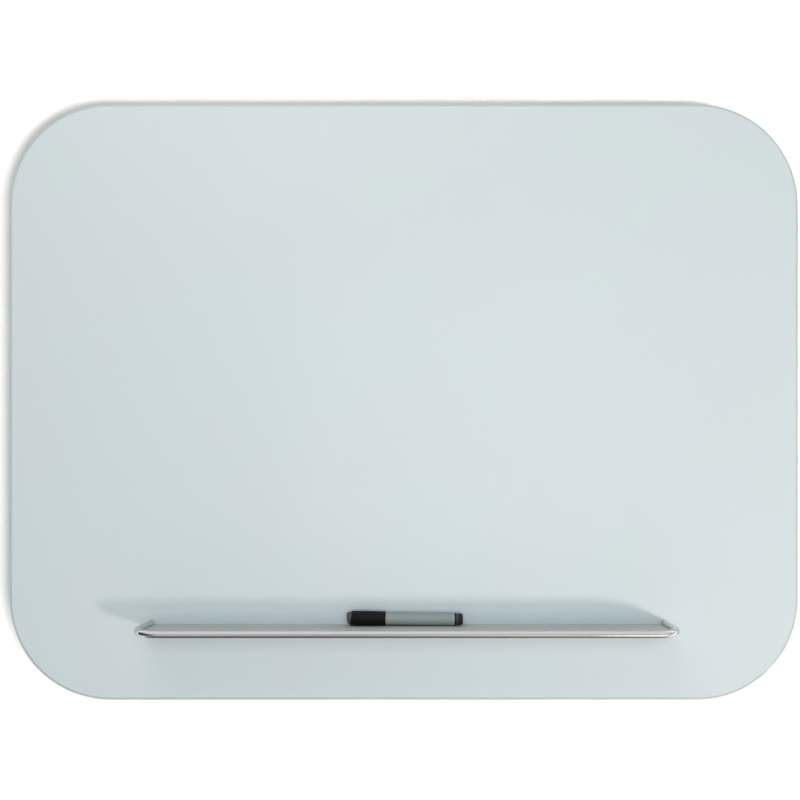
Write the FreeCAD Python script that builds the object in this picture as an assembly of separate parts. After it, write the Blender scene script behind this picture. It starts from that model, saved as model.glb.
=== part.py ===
import FreeCAD, Part
import math
import os
from FreeCAD import Vector

# Magnetic glass whiteboard on two pairs of wall cleats, with a magnet-held pen tray and a capped marker.
# Millimetres, +Z up, front towards -Y, wall plane at Y = 0, origin at the centre of the four wall screws.

# Glass board: a back-painted pane with a steel sheet glued behind it
board_width = 900.0
board_height = 680.0
corner_radius = 115.0
glass_thickness = 4.0
bevel_width = 3.0
bevel_depth = 1.2
arris = 0.5
enamel_thickness = 0.2
enamel_inset = 1.0
film_thickness = 0.5
film_inset = 16.0
sheet_thickness = 0.8
sheet_inset = 12.0

# Wall cleats: four lengths of one bent profile, two on the wall and two on the board
rail_wall = 2.5
rail_flange = 32.0
rail_lip = 14.0
rail_side_margin = 230.0
lip_gap = 0.9
liner_wall = 0.6
liner_drop = 9.0
hook_relief = 1.5
end_play = 2.0
end_stop_thickness = 3.0
tape_thickness = 1.0
tape_margin = 2.0

# Wall screw holes, two in each wall rail
screw_end_distance = 20.0
screw_edge_distance = 120.0
screw_hole_radius = 2.75

# Studs welded to the steel sheet hold the hanger rails, with a washer and a nut on each
stud_radius = 2.0
stud_foot_radius = 2.75
stud_foot_thickness = 0.6
stud_tip = 1.0
stud_clearance = 0.2
thread_clearance = 0.05
washer_radius = 4.5
washer_thickness = 0.8
nut_across_flats = 7.0
nut_thickness = 3.2
stud_place_shares = (-0.42, -0.14, 0.14, 0.42)
stud_height_share = 0.58

# Rubber bumpers near the board's corners
bumper_radius = 11.0
bumper_chamfer = 1.5
bumper_wall_gap = 0.5
bumper_edge_x = 80.0
bumper_edge_z = 70.0

# Pen tray: a bent rod rim round a sheet metal floor
tray_offset = 4.4
tray_above_edge = 86.5
tray_length = 593.0
tray_depth = 70.0
rim_radius = 4.0
rim_bend = 30.0
rim_rise = 1.0
floor_thickness = 1.5
floor_back_gap = 0.3
floor_edge_chamfer = 0.4
weld_gap = 0.05
glass_clearance = 0.05
end_pad_thickness = 1.0
end_pad_margin = 0.4
weld_leg = 2.5
weld_length = 12.0
front_weld_shares = (-0.4, -0.24, -0.08, 0.08, 0.24, 0.4)
side_weld_shares = (0.22, 0.62)

# Magnet bar: a steel channel under the tray's back edge, open towards the glass
bar_end_margin = 20.0
bar_height = 13.0
bar_depth = 6.0
bar_wall = 1.2
pad_thickness = 0.6
pad_margin = 0.3
magnet_length = 40.0
magnet_clearance = 0.1
magnet_place_shares = (-0.44, -0.264, -0.088, 0.088, 0.264, 0.44)

# Marker, measured along its axis from the closed end of the cap
marker_left_reach = 68.8
marker_glass_distance = 9.4
marker_length = 131.0
marker_rest_gap = 0.3
fit_gap = 0.05
cap_length = 44.2
cap_radius = 8.15
cap_mouth_radius = 7.75
cap_taper_start = 30.0
cap_bore_radius = 6.7
cap_slant = 1.8
cap_shell_start = 4.6
cap_gap = 0.2
slide_gap = 0.3
button_radius = 7.4
button_end_radius = 6.1
button_length = 11.0
button_chamfer = 0.8
button_slant = 1.8
seal_length = 20.0
barrel_radius = 7.1
barrel_bore_radius = 6.2
barrel_edge_round = 0.4
collar_length = 2.0
collar_slant = 0.4
plug_length = 7.3
plug_radius = 6.5
plug_round = 2.0
plug_round_steps = 6
plug_spigot = 8.0
holder_spigot = 9.0
holder_neck_length = 13.0
holder_nose_radius = 3.2
holder_nose_length = 7.0
nib_radius = 2.4
nib_length = 36.0
nib_proud = 7.0
nib_tip_radius = 1.2
nib_tip_length = 2.2
reservoir_radius = 5.6
reservoir_gap = 0.2

overrun = 1.0

# Rail length, screw pattern and tray height follow from the board's outline, the barrel from the marker
rail_length = board_width - 2 * rail_side_margin
screw_spacing_x = rail_length - 2 * screw_end_distance
screw_spacing_z = board_height - 2 * screw_edge_distance
tray_floor_height = tray_above_edge - board_height / 2
barrel_end = marker_length - collar_length - plug_length

# Planes from the wall forwards
flange_front = -rail_wall
hook_back = flange_front - lip_gap
hook_front = hook_back - rail_wall
lip_back = hook_front - lip_gap
lip_front = lip_back - rail_wall
hanger_back = lip_front - lip_gap
hanger_front = hanger_back - rail_wall
sheet_back = hanger_front - tape_thickness
sheet_front = sheet_back - sheet_thickness
film_front = sheet_front - film_thickness
glass_back = film_front - enamel_thickness
glass_front = glass_back - glass_thickness

X = Vector(1, 0, 0)
Y = Vector(0, 1, 0)
Z = Vector(0, 0, 1)

os.makedirs("parts", exist_ok=True)


def export(name, *solids):
    """Write one node, a single solid or a group of like solids."""
    shape = solids[0] if len(solids) == 1 else Part.makeCompound(list(solids))
    shape.exportStep("parts/" + name + ".step")


def polygon(points):
    return Part.makePolygon(list(points) + [points[0]])


def box(x_range, y_range, z_range):
    """Box between the lower and upper value on each axis."""
    low = [min(r) for r in (x_range, y_range, z_range)]
    size = [max(r) - min(r) for r in (x_range, y_range, z_range)]
    return Part.makeBox(size[0], size[1], size[2], Vector(low[0], low[1], low[2]))


def rounded_wire(inset, y):
    """Outline of the board, drawn in by inset, at depth y."""
    radius = corner_radius - inset
    across = board_width / 2 - corner_radius
    up = board_height / 2 - corner_radius
    diagonal = radius * math.sqrt(0.5)
    edges = []
    for sx, sz in ((1, 1), (-1, 1), (-1, -1), (1, -1)):
        centre = Vector(sx * across, y, sz * up)
        side = centre + X * (sx * radius)
        middle = centre + X * (sx * diagonal) + Z * (sz * diagonal)
        top = centre + Z * (sz * radius)
        first, last = (side, top) if sx == sz else (top, side)
        if edges:
            edges.append(Part.makeLine(edges[-1].Vertexes[-1].Point, first))
        edges.append(Part.Arc(first, middle, last).toShape())
    edges.append(Part.makeLine(edges[-1].Vertexes[-1].Point, edges[0].Vertexes[0].Point))
    return Part.Wire(edges)


def board_layer(inset, y_back, y_front):
    """Flat sheet with the board's outline, drawn in by inset."""
    return Part.Face(rounded_wire(inset, y_back)).extrude(Y * (y_front - y_back))


def profile_along_x(points, length):
    """Straight profile of length, centred on X = 0, from its (y, z) outline."""
    wire = polygon([Vector(-length / 2, y, z) for y, z in points])
    return Part.Face(wire).extrude(X * length)


def disc(radius, x, z, y_from, y_to):
    """Round bar along Y between two planes."""
    low = min(y_from, y_to)
    return Part.makeCylinder(radius, abs(y_to - y_from), Vector(x, low, z), Y)


def turned(profile):
    """Solid turned about the marker's own axis from (distance, radius) points."""
    wire = polygon([Vector(s, 0, r) for s, r in profile])
    return Part.Face(wire).revolve(Vector(0, 0, 0), X, 360)


# Glass pane: bevel at the front edge, straight wall, ground arris at the back
def glass_pane():
    sections = (
        (bevel_width, glass_front),
        (0, glass_front + bevel_depth),
        (0, glass_back - arris),
        (arris, glass_back),
    )
    return Part.makeLoft([rounded_wire(inset, y) for inset, y in sections], True, True)


export("glass_pane", glass_pane())
export("back_enamel", board_layer(enamel_inset, glass_back, film_front))
export("adhesive_film", board_layer(film_inset, film_front, sheet_front))
export("steel_sheet", board_layer(sheet_inset, sheet_front, sheet_back))


# Wall rails and hanger rails: each pair hooks together over a plastic liner
def wall_rail(flange_foot):
    slot_floor = flange_foot + rail_flange
    lip_top = slot_floor + rail_lip
    web_foot = slot_floor - rail_wall
    rail = profile_along_x(
        (
            (0, flange_foot),
            (0, slot_floor),
            (lip_back, slot_floor),
            (lip_back, lip_top),
            (lip_front, lip_top),
            (lip_front, web_foot),
            (flange_front, web_foot),
            (flange_front, flange_foot),
        ),
        rail_length,
    )
    hole_height = flange_foot + rail_flange / 2
    for side in (-1, 1):
        place = side * screw_spacing_x / 2
        rail = rail.cut(disc(screw_hole_radius, place, hole_height, overrun, flange_front - overrun))
    return rail


def rail_liner(flange_foot):
    lip_top = flange_foot + rail_flange + rail_lip
    outer_back = lip_back + liner_wall
    outer_front = lip_front - liner_wall
    return profile_along_x(
        (
            (outer_back, lip_top - liner_drop),
            (outer_back, lip_top + liner_wall),
            (outer_front, lip_top + liner_wall),
            (outer_front, lip_top - liner_drop),
            (lip_front, lip_top - liner_drop),
            (lip_front, lip_top),
            (lip_back, lip_top),
            (lip_back, lip_top - liner_drop),
        ),
        rail_length,
    )


def rail_end_stop(flange_foot, side):
    lip_top = flange_foot + rail_flange + rail_lip
    inner = side * rail_length / 2
    return box((inner, inner + side * end_stop_thickness), (0, lip_front), (flange_foot, lip_top))


hanger_length = rail_length - 2 * end_play


def hanger_seat(flange_foot):
    """Height where the hanger rests on the liner."""
    return flange_foot + rail_flange + rail_lip + liner_wall


def stud_places(flange_foot):
    height = hanger_seat(flange_foot) + rail_flange * stud_height_share
    return [(share * hanger_length, height) for share in stud_place_shares]


def hanger_rail(flange_foot):
    seat = hanger_seat(flange_foot)
    tip = flange_foot + rail_flange + hook_relief
    web_top = seat + rail_wall
    rail = profile_along_x(
        (
            (hook_back, tip),
            (hook_back, web_top),
            (hanger_back, web_top),
            (hanger_back, seat + rail_flange),
            (hanger_front, seat + rail_flange),
            (hanger_front, seat),
            (hook_front, seat),
            (hook_front, tip),
        ),
        hanger_length,
    )
    for x, z in stud_places(flange_foot):
        hole = disc(stud_radius + stud_clearance, x, z, hanger_back + overrun, hanger_front - overrun)
        rail = rail.cut(hole)
    return rail


def hanger_tape(flange_foot):
    seat = hanger_seat(flange_foot)
    half = hanger_length / 2 - tape_margin
    height = (seat + tape_margin, seat + rail_flange - tape_margin)
    tape = box((-half, half), (hanger_front, sheet_back), height)
    for x, z in stud_places(flange_foot):
        hole = disc(stud_foot_radius + stud_clearance, x, z, hanger_front + overrun, sheet_back - overrun)
        tape = tape.cut(hole)
    return tape


washer_back = hanger_back + washer_thickness
nut_back = washer_back + nut_thickness


def weld_stud(x, z):
    foot = disc(stud_foot_radius, x, z, sheet_back, sheet_back + stud_foot_thickness)
    return disc(stud_radius, x, z, sheet_back, nut_back + stud_tip).fuse(foot).removeSplitter()


def stud_washer(x, z):
    ring = disc(washer_radius, x, z, hanger_back, washer_back)
    return ring.cut(disc(stud_radius + stud_clearance, x, z, hanger_back - overrun, washer_back + overrun))


def stud_nut(x, z):
    corner = nut_across_flats / math.sqrt(3)
    corners = []
    for number in range(6):
        angle = math.radians(60 * number)
        corners.append(Vector(x + corner * math.cos(angle), washer_back, z + corner * math.sin(angle)))
    nut = Part.Face(polygon(corners)).extrude(Y * nut_thickness)
    return nut.cut(disc(stud_radius + thread_clearance, x, z, washer_back - overrun, nut_back + overrun))


rail_feet = {
    "top": screw_spacing_z / 2 - rail_flange / 2,
    "bottom": -screw_spacing_z / 2 - rail_flange / 2,
}
studs = []
for place, foot in rail_feet.items():
    export("wall_rail_" + place, wall_rail(foot))
    export("rail_liner_" + place, rail_liner(foot))
    export("hanger_rail_" + place, hanger_rail(foot))
    export("hanger_tape_" + place, hanger_tape(foot))
    studs.extend(stud_places(foot))
export("rail_end_stops", *[rail_end_stop(foot, side) for foot in rail_feet.values() for side in (-1, 1)])
export("weld_studs", *[weld_stud(x, z) for x, z in studs])
export("stud_washers", *[stud_washer(x, z) for x, z in studs])
export("stud_nuts", *[stud_nut(x, z) for x, z in studs])


# Corner bumpers keep the glass from tapping on the wall
def corner_bumper(x, z):
    back = -bumper_wall_gap
    body = disc(bumper_radius, x, z, sheet_back, back - bumper_chamfer)
    shoulder = Vector(x, back - bumper_chamfer, z)
    rim = Part.makeCone(bumper_radius, bumper_radius - bumper_chamfer, bumper_chamfer, shoulder, Y)
    return body.fuse(rim).removeSplitter()


bumper_x = board_width / 2 - bumper_edge_x
bumper_z = board_height / 2 - bumper_edge_z
export("corner_bumpers", *[corner_bumper(sx * bumper_x, sz * bumper_z) for sx in (-1, 1) for sz in (-1, 1)])


# Tray rim: one rod, straight back to the glass at each end, with a rubber pad on each cut face
rim_height = tray_floor_height + rim_rise
arm_offset = tray_length / 2 - rim_radius
front_line = glass_front - tray_depth + rim_radius
pad_face = glass_front - glass_clearance
arm_back = pad_face - end_pad_thickness


def tray_rim():
    bend_diagonal = rim_bend * math.sqrt(0.5)
    left = tray_offset - arm_offset
    right = tray_offset + arm_offset
    bend_y = front_line + rim_bend

    def bend(side, x_arm):
        centre = Vector(x_arm - side * rim_bend, bend_y, rim_height)
        return (
            centre + X * (side * rim_bend),
            centre + X * (side * bend_diagonal) - Y * bend_diagonal,
            centre - Y * rim_bend,
        )

    left_side, left_middle, left_front = bend(-1, left)
    right_side, right_middle, right_front = bend(1, right)
    start = Vector(left, arm_back, rim_height)
    path = Part.Wire(
        [
            Part.makeLine(start, left_side),
            Part.Arc(left_side, left_middle, left_front).toShape(),
            Part.makeLine(left_front, right_front),
            Part.Arc(right_front, right_middle, right_side).toShape(),
            Part.makeLine(right_side, Vector(right, arm_back, rim_height)),
        ]
    )
    section = Part.Wire(Part.makeCircle(rim_radius, start, Y))
    return path.makePipeShell([section], True, False)


def rim_end_pad(side):
    return disc(rim_radius - end_pad_margin, tray_offset + side * arm_offset, rim_height, arm_back, pad_face)


export("tray_rim", tray_rim())
export("rim_end_pads", rim_end_pad(-1), rim_end_pad(1))

# Tray floor: a flat sheet inside the rim, with its two front corners rounded to follow the bends
floor_underside = tray_floor_height - floor_thickness
floor_half = arm_offset - rim_radius - weld_gap
floor_front = front_line + rim_radius + weld_gap
floor_back = glass_front - floor_back_gap
floor_round = rim_bend - rim_radius - weld_gap


def tray_floor():
    plate = box(
        (tray_offset - floor_half, tray_offset + floor_half),
        (floor_front, floor_back),
        (floor_underside, tray_floor_height),
    )
    corners = []
    back_edge = []
    for edge in plate.Edges:
        middle = edge.CenterOfMass
        upright = abs(edge.Vertexes[0].Z - edge.Vertexes[-1].Z) > weld_gap
        if upright and middle.y < (floor_front + floor_back) / 2:
            corners.append(edge)
    plate = plate.makeFillet(floor_round, corners)
    for edge in plate.Edges:
        middle = edge.CenterOfMass
        if abs(middle.y - floor_back) < weld_gap and abs(middle.z - tray_floor_height) < weld_gap:
            back_edge.append(edge)
    return plate.makeChamfer(floor_edge_chamfer, back_edge)


export("tray_floor", tray_floor())


# Weld beads under the floor join it to the rim
def weld_bead(across, along, centre, inward):
    """Three-sided bead under the floor, beside a straight stretch of the rim."""
    far = rim_radius + weld_gap + weld_leg
    near = rim_radius / 2
    low = floor_underside - weld_leg
    points = []
    for distance, height in ((far, floor_underside), (near, floor_underside), (near, low)):
        point = centre + across * (inward * distance) - along * (weld_length / 2)
        points.append(Vector(point.x, point.y, height))
    bead = Part.Face(polygon(points)).extrude(along * weld_length)
    start = Vector(centre.x, centre.y, rim_height) - along * weld_length
    return bead.cut(Part.makeCylinder(rim_radius, 2 * weld_length, start, along))


def rim_welds():
    beads = []
    for share in front_weld_shares:
        beads.append(weld_bead(Y, X, Vector(tray_offset + share * tray_length, front_line, 0), 1))
    straight = arm_back - (front_line + rim_bend)
    for side in (-1, 1):
        for share in side_weld_shares:
            centre = Vector(tray_offset + side * arm_offset, front_line + rim_bend + share * straight, 0)
            beads.append(weld_bead(X, Y, centre, -side))
    return beads


export("rim_welds", *rim_welds())

# Magnet bar, its magnets and the silicone strip that grips the glass
bar_half = floor_half - bar_end_margin
bar_front = pad_face - pad_thickness
bar_back = bar_front - bar_depth
bar_foot = floor_underside - bar_height


def magnet_bar():
    outer = box(
        (tray_offset - bar_half, tray_offset + bar_half),
        (bar_back, bar_front),
        (bar_foot, floor_underside),
    )
    groove = box(
        (tray_offset - bar_half + bar_wall, tray_offset + bar_half - bar_wall),
        (bar_back + bar_wall, bar_front + overrun),
        (bar_foot + bar_wall, floor_underside - bar_wall),
    )
    return outer.cut(groove)


def tray_magnet(share):
    centre = tray_offset + share * 2 * bar_half
    return box(
        (centre - magnet_length / 2, centre + magnet_length / 2),
        (bar_back + bar_wall, bar_front),
        (bar_foot + bar_wall + magnet_clearance, floor_underside - bar_wall - magnet_clearance),
    )


def glass_pad():
    return box(
        (tray_offset - bar_half + pad_margin, tray_offset + bar_half - pad_margin),
        (bar_front, pad_face),
        (bar_foot + pad_margin, floor_underside - pad_margin),
    )


export("magnet_bar", magnet_bar())
export("tray_magnets", *[tray_magnet(share) for share in magnet_place_shares])
export("glass_pad", glass_pad())

# Marker: lies on the fat part of its cap and on the far end of its barrel, so its axis leans a little
marker_lean = math.atan2(cap_radius - barrel_radius, barrel_end - cap_taper_start)
contact_height = tray_floor_height + marker_rest_gap + cap_radius * math.cos(marker_lean)
axis_height = contact_height + cap_taper_start * math.sin(marker_lean)


def laid_in_tray(solid):
    """Turn a marker piece by its lean and set it down in the tray."""
    placed = solid.copy()
    placed.rotate(Vector(0, 0, 0), Y, math.degrees(marker_lean))
    placed.translate(Vector(tray_offset - marker_left_reach, glass_front - marker_glass_distance, axis_height))
    return placed


def slanted_end(solid, end, slant, radius, side):
    """Cut a round end along a plane that leans back by slant from its lowest to its highest point."""
    reach = 2 * marker_length
    lean = math.degrees(math.atan2(slant, 2 * radius))
    block = box((0, side * reach), (-reach / 2, reach / 2), (-reach / 2, reach / 2))
    block.rotate(Vector(0, 0, 0), Y, -side * lean)
    block.translate(Vector(end, 0, -radius))
    return solid.cut(block)


holder_front = cap_length + cap_gap - holder_neck_length
nose_front = holder_front - holder_nose_length
nib_front = nose_front - nib_proud
neck_radius = cap_bore_radius - slide_gap
barrel_start = cap_length + cap_gap


def marker_cap():
    socket_radius = button_radius + fit_gap
    shell = turned(
        (
            (cap_shell_start, socket_radius),
            (cap_shell_start, cap_radius),
            (cap_taper_start, cap_radius),
            (cap_length, cap_mouth_radius),
            (cap_length, cap_bore_radius),
            (button_length, cap_bore_radius),
            (button_length, socket_radius),
        )
    )
    return slanted_end(shell, cap_shell_start, cap_slant, cap_radius, -1)


def cap_end_button():
    button = turned(
        (
            (0, 0),
            (0, button_end_radius - button_chamfer),
            (button_chamfer, button_end_radius),
            (cap_shell_start, button_radius),
            (button_length, button_radius),
            (button_length, 0),
        )
    )
    return slanted_end(button, button_slant, -button_slant, button_end_radius, -1)


def cap_inner_seal():
    outer = cap_bore_radius - fit_gap
    inner = holder_nose_radius + slide_gap
    return turned(
        (
            (button_length, outer),
            (button_length + seal_length, outer),
            (button_length + seal_length, inner),
            (button_length, inner),
        )
    )


def marker_barrel():
    return turned(
        (
            (barrel_start, barrel_bore_radius),
            (barrel_start, barrel_radius - barrel_edge_round),
            (barrel_start + barrel_edge_round, barrel_radius),
            (barrel_end, barrel_radius),
            (barrel_end, barrel_bore_radius),
        )
    )


def marker_nib_holder():
    bore = nib_radius + fit_gap
    spigot_end = barrel_start + holder_spigot
    return turned(
        (
            (nose_front, bore),
            (nose_front, holder_nose_radius),
            (holder_front, holder_nose_radius),
            (holder_front + holder_nose_length, neck_radius),
            (barrel_start, neck_radius),
            (barrel_start, barrel_bore_radius - fit_gap),
            (spigot_end, barrel_bore_radius - fit_gap),
            (spigot_end, bore),
        )
    )


def marker_nib():
    return turned(
        (
            (nib_front, 0),
            (nib_front, nib_tip_radius),
            (nib_front + nib_tip_length, nib_radius),
            (nib_front + nib_length, nib_radius),
            (nib_front + nib_length, 0),
        )
    )


reservoir_start = max(barrel_start + holder_spigot, nib_front + nib_length) + reservoir_gap
plug_start = barrel_end - plug_spigot


def ink_reservoir():
    return turned(
        (
            (reservoir_start, 0),
            (reservoir_start, reservoir_radius),
            (plug_start - reservoir_gap, reservoir_radius),
            (plug_start - reservoir_gap, 0),
        )
    )


def marker_end_collar():
    collar_end = barrel_end + collar_length
    bore = plug_radius + fit_gap
    ring = turned(
        (
            (barrel_end, bore),
            (barrel_end, barrel_radius),
            (collar_end, barrel_radius),
            (collar_end, bore),
        )
    )
    return slanted_end(ring, collar_end, collar_slant, barrel_radius, 1)


def marker_end_plug():
    spigot_radius = barrel_bore_radius - fit_gap
    profile = [
        (plug_start, 0),
        (plug_start, spigot_radius),
        (barrel_end, spigot_radius),
        (barrel_end, plug_radius),
    ]
    for step in range(plug_round_steps + 1):
        angle = math.radians(90 * step / plug_round_steps)
        reach = marker_length - plug_round + plug_round * math.sin(angle)
        profile.append((reach, plug_radius - plug_round + plug_round * math.cos(angle)))
    profile.append((marker_length, 0))
    return turned(profile)


export("marker_cap", laid_in_tray(marker_cap()))
export("cap_end_button", laid_in_tray(cap_end_button()))
export("cap_inner_seal", laid_in_tray(cap_inner_seal()))
export("marker_barrel", laid_in_tray(marker_barrel()))
export("marker_nib_holder", laid_in_tray(marker_nib_holder()))
export("marker_nib", laid_in_tray(marker_nib()))
export("ink_reservoir", laid_in_tray(ink_reservoir()))
export("marker_end_collar", laid_in_tray(marker_end_collar()))
export("marker_end_plug", laid_in_tray(marker_end_plug()))
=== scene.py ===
import math

import bmesh
import bpy
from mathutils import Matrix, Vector


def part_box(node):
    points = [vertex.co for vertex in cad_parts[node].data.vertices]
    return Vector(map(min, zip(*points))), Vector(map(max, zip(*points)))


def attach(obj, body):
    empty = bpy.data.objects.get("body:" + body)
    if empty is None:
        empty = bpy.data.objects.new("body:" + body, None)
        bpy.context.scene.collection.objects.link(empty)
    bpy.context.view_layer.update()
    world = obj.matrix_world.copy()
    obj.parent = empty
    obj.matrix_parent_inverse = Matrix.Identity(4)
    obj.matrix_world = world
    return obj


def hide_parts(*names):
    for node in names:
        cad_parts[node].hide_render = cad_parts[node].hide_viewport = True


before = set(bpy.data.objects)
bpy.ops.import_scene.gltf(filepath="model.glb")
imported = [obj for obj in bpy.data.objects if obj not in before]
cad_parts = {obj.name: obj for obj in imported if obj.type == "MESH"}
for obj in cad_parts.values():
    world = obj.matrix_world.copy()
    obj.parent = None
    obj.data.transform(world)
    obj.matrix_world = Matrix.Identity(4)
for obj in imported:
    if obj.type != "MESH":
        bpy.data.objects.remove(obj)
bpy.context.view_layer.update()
mm = 0.001


# Wall rails: two hook profiles of extruded aluminium in mill finish, screwed to the wall before the board is hung.
# The die leaves fine straight lines along their whole length.
def linear(hex_code):
    """Linear colour from an sRGB hex value."""
    shares = [int(hex_code[at : at + 2], 16) / 255 for at in (1, 3, 5)]
    return [s / 12.92 if s <= 0.04045 else ((s + 0.055) / 1.055) ** 2.4 for s in shares] + [1.0]


def feed(tree, receiver, inputs):
    """Give each named socket of a node its value, or the socket that drives it."""
    for name, value in inputs.items():
        if isinstance(value, bpy.types.NodeSocket):
            tree.links.new(value, receiver.inputs[name])
        else:
            receiver.inputs[name].default_value = value


def add(tree, kind, inputs=None, **settings):
    """Add one node with its settings and its inputs."""
    made = tree.nodes.new(kind)
    for name, value in settings.items():
        setattr(made, name, value)
    feed(tree, made, inputs or {})
    return made


def new_material(name):
    """New material: gives it, its tree, its surface shader and the piece's own coordinates in metres."""
    material = bpy.data.materials.new(name)
    material.use_nodes = True
    tree = material.node_tree
    place = add(tree, "ShaderNodeTexCoord").outputs["Object"]
    return material, tree, tree.nodes["Principled BSDF"], place


def dress(material, *names):
    """Give nodes of the frame their finish."""
    for name in names:
        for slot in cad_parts[name].material_slots:
            slot.material = material


def lined_metal(name, dark, light, line, run, rough, relief):
    """Metal worked in one direction: fine lines of width line and length run along X break its gloss."""
    material, tree, shader, place = new_material(name)
    drawn = add(tree, "ShaderNodeMapping", {"Vector": place, "Scale": (1 / run, 1 / line, 1 / line)})
    lines = add(tree, "ShaderNodeTexNoise", {"Vector": drawn.outputs[0], "Scale": 1.0, "Detail": 4.0})
    tone = add(
        tree,
        "ShaderNodeMix",
        {0: lines.outputs[0], 6: linear(dark), 7: linear(light)},
        data_type="RGBA",
    )
    gloss = add(tree, "ShaderNodeMapRange", {"Value": lines.outputs[0], "To Min": rough[0], "To Max": rough[1]})
    bump = add(tree, "ShaderNodeBump", {"Height": lines.outputs[0], "Distance": relief, "Strength": 1.0})
    feed(
        tree,
        shader,
        {
            "Base Color": tone.outputs[2],
            "Metallic": 1.0,
            "Roughness": gloss.outputs[0],
            "Normal": bump.outputs[0],
        },
    )
    return material


# Mill finish: dull silver with a soft streak along the profile
mill_aluminium = lined_metal("mill_aluminium", "#8F9294", "#C6C9CA", 0.7 * mm, 300 * mm, (0.34, 0.5), 0.01 * mm)
dress(mill_aluminium, "wall_rail_top", "wall_rail_bottom")


# Rail liners: thin polyethylene strips clipped over the lips of the wall rails, so that metal never rubs on metal.
# End stops: black moulded caps on the rail ends, which keep the board from sliding off sideways.
def moulded(name, dark, light, grain, rough, relief, shine=0.5):
    """Moulded plastic or rubber: an even colour, mottled a little, with the mould's sparked grain."""
    material, tree, shader, place = new_material(name)
    sparks = add(tree, "ShaderNodeTexNoise", {"Vector": place, "Scale": 1 / grain, "Detail": 3.0})
    flow = add(tree, "ShaderNodeTexNoise", {"Vector": place, "Scale": 1 / (25 * grain), "Detail": 2.0})
    tone = add(
        tree,
        "ShaderNodeMix",
        {0: flow.outputs[0], 6: linear(dark), 7: linear(light)},
        data_type="RGBA",
    )
    gloss = add(tree, "ShaderNodeMapRange", {"Value": sparks.outputs[0], "To Min": rough[0], "To Max": rough[1]})
    bump = add(tree, "ShaderNodeBump", {"Height": sparks.outputs[0], "Distance": relief, "Strength": 1.0})
    feed(
        tree,
        shader,
        {
            "Base Color": tone.outputs[2],
            "Roughness": gloss.outputs[0],
            "Specular IOR Level": shine,
            "Normal": bump.outputs[0],
        },
    )
    return material


# Natural polyethylene: milky and waxy
polyethylene = moulded("natural_polyethylene", "#CFD2CC", "#E2E4DF", 0.5 * mm, (0.4, 0.55), 0.01 * mm)
dress(polyethylene, "rail_liner_top", "rail_liner_bottom")
# Black ABS: a dry, even black with a sparked grain
black_abs = moulded("black_abs", "#1B1C1E", "#26272A", 0.4 * mm, (0.45, 0.65), 0.03 * mm)
dress(black_abs, "rail_end_stops")

# Glass pane: 4 mm toughened float glass with round corners, its front edge bevelled and polished, its back arrissed.
# It is seen over the pale enamel on its back, so the face reads as one glossy cool white and only the edge as glass.
glass_low, glass_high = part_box("glass_pane")
corner_radius = 115 * mm
bevel_width = 3 * mm
bevel_depth = 1.2 * mm
arris = 0.5 * mm
corner_steps = 32


def board_outline(inset):
    """Points (x, z) round the board, drawn in by inset."""
    radius = corner_radius - inset
    points = []
    for corner, (side, up) in enumerate(((1, 1), (-1, 1), (-1, -1), (1, -1))):
        x = side * (glass_high.x - corner_radius)
        z = up * (glass_high.z - corner_radius)
        for step in range(corner_steps + 1):
            angle = math.radians(90 * (corner + step / corner_steps))
            points.append((x + radius * math.cos(angle), z + radius * math.sin(angle)))
    return points


def glass_sheet():
    """Closed sheet: flat front, bevel, straight edge, back arris and flat back."""
    rings = (
        (bevel_width, glass_low.y),
        (0, glass_low.y + bevel_depth),
        (0, glass_high.y - arris),
        (arris, glass_high.y),
    )
    sheet = bmesh.new()
    loops = [[sheet.verts.new((x, y, z)) for x, z in board_outline(inset)] for inset, y in rings]
    sheet.faces.new(loops[0])
    sheet.faces.new(loops[-1])
    for near, far in zip(loops, loops[1:]):
        for at, vert in enumerate(near):
            face = sheet.faces.new((vert, far[at], far[at - 1], near[at - 1]))
            face.smooth = True
            face.material_index = 1
    for edge in sheet.edges:
        one, other = edge.verts
        edge.smooth = one.co.y != other.co.y
    bmesh.ops.recalc_face_normals(sheet, faces=sheet.faces)
    return sheet


def piece_from(name, built, *materials):
    """Object at the origin from a bmesh, with its materials."""
    mesh = bpy.data.meshes.new(name)
    built.to_mesh(mesh)
    built.free()
    piece = bpy.data.objects.new(name, mesh)
    bpy.context.scene.collection.objects.link(piece)
    for material in materials:
        mesh.materials.append(material)
    return piece


def enamelled_glass():
    """Float glass over pale enamel: a cool white that drifts between a green and a grey cast, under a clear gloss."""
    drift = 180 * mm
    haze = 35 * mm
    material, tree, shader, place = new_material("float_glass_over_enamel")
    cast = add(tree, "ShaderNodeTexNoise", {"Vector": place, "Scale": 1 / drift, "Detail": 2.0})
    wiped = add(tree, "ShaderNodeTexNoise", {"Vector": place, "Scale": 1 / haze, "Detail": 3.0})
    tone = add(
        tree,
        "ShaderNodeMix",
        {0: cast.outputs[0], 6: linear("#CAD5D8"), 7: linear("#CED3DB")},
        data_type="RGBA",
    )
    gloss = add(tree, "ShaderNodeMapRange", {"Value": wiped.outputs[0], "To Min": 0.1, "To Max": 0.2})
    feed(tree, shader, {"Base Color": tone.outputs[2], "Roughness": gloss.outputs[0], "IOR": 1.52})
    return material


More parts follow.
